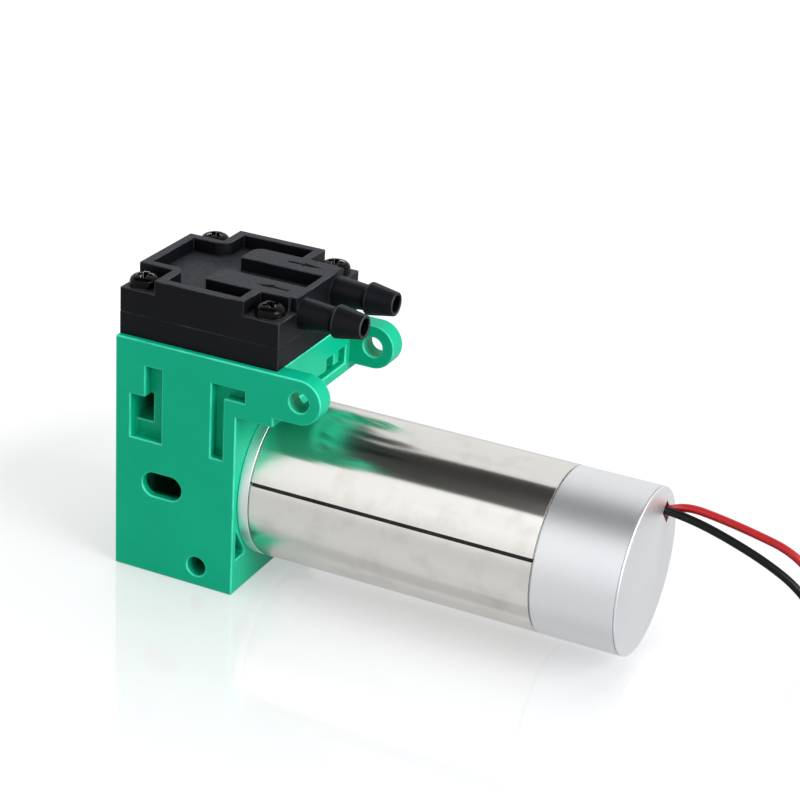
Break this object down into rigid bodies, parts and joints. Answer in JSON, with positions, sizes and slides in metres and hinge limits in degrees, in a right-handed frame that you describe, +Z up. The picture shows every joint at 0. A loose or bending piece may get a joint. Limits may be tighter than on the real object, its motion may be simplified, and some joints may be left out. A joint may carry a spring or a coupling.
{
  "type": "diaphragm vacuum pump",
  "caption": "Miniature diaphragm vacuum pump: moulded crankcase with mounting lugs, head with two hose barbs, and a slim round motor with two leads.",
  "frame": {"origin": "centre of the crankcase's flat underside", "axes": "+X along the motor, from the crankcase to its end cap; +Z up to the pump head; the inlet is on the -Y side"},
  "size_m": [0.1201, 0.026, 0.0453],
  "materials": {
    "case_plastic": "fine moulded",
    "head_plastic": "fine moulded",
    "valve_rubber": "matte",
    "valve_sheet": "satin",
    "black_steel": "black oxide",
    "bright_steel": "ground",
    "rod_plastic": "moulded",
    "clamp_aluminium": "turned",
    "crank_brass": "turned",
    "sleeve_nickel": "nickel plated, polished",
    "satin_aluminium": "bead blasted, anodised",
    "can_steel": "plated",
    "magnet": "sintered",
    "winding_copper": "enamelled",
    "board": "solder mask",
    "board_parts": "moulded",
    "red_insulation": "soft insulation",
    "black_insulation": "soft insulation",
    "tie_plastic": "moulded",
    "tinned_copper": "tinned"
  },
  "bodies": {
    "housing": {"crankcase": "case_plastic", "case_cover": "case_plastic", "valve_plate": "head_plastic", "head_cover": "head_plastic", "diaphragm": "valve_rubber", "valve_sheet": "valve_sheet", "head_screws": "black_steel", "front_bearing_outer": "bright_steel", "rear_bearing_outer": "bright_steel", "motor_screws": "bright_steel", "motor_sleeve": "sleeve_nickel", "end_cap": "satin_aluminium", "front_flange": "satin_aluminium", "rear_bracket": "satin_aluminium", "motor_can": "can_steel", "stator_core": "can_steel", "stator_windings": "winding_copper", "driver_board": "board", "board_parts": "board_parts", "red_lead": "red_insulation", "red_coil": "red_insulation", "black_lead": "black_insulation", "black_coil": "black_insulation", "coil_tie": "tie_plastic", "red_tip": "tinned_copper", "black_tip": "tinned_copper"},
    "crank_and_rotor": {"crank": "crank_brass", "crank_set_screw": "black_steel", "motor_shaft": "bright_steel", "rotor_core": "can_steel", "rotor_magnet": "magnet", "rod_bearing_inner": "bright_steel", "front_bearing_inner": "bright_steel", "rear_bearing_inner": "bright_steel"},
    "rod_assembly": {"connecting_rod": "rod_plastic", "rod_bearing_outer": "bright_steel", "diaphragm_clamp": "clamp_aluminium", "clamp_screw": "bright_steel"},
    "ball_cage": {"rod_bearing_balls": "bright_steel"},
    "inlet_valve": {"inlet_flap": "valve_rubber"},
    "outlet_valve": {"outlet_flap": "valve_rubber"}
  },
  "joints": [
    {"name": "shaft_spin", "type": "hinge", "parent": "housing", "child": "crank_and_rotor", "pos_m": [0, 0, 0.01435], "axis": [1, 0, 0], "continuous": true},
    {"name": "rod_pivot", "type": "hinge", "parent": "crank_and_rotor", "child": "rod_assembly", "pos_m": [0.00295, 0, 0.01355], "axis": [1, 0, 0], "continuous": true, "deforming": ["diaphragm"]},
    {"name": "cage_spin", "type": "hinge", "parent": "rod_assembly", "child": "ball_cage", "pos_m": [0.00295, 0, 0.01355], "axis": [1, 0, 0], "continuous": true},
    {"name": "inlet_flap_bend", "type": "hinge", "parent": "housing", "child": "inlet_valve", "pos_m": [-0.00045, -0.005, 0.03945], "axis": [0, 1, 0], "range_deg": [0, 8], "stiffness_Nm_per_rad": 0.00005},
    {"name": "outlet_flap_bend", "type": "hinge", "parent": "housing", "child": "outlet_valve", "pos_m": [-0.00045, 0.005, 0.03945], "axis": [0, -1, 0], "range_deg": [0, 8], "stiffness_Nm_per_rad": 0.00005}
  ],
  "couplings": [
    {"joint": "rod_pivot", "follows": "shaft_spin", "ratio": -1},
    {"joint": "cage_spin", "follows": "shaft_spin", "ratio": 0.40667}
  ]
}
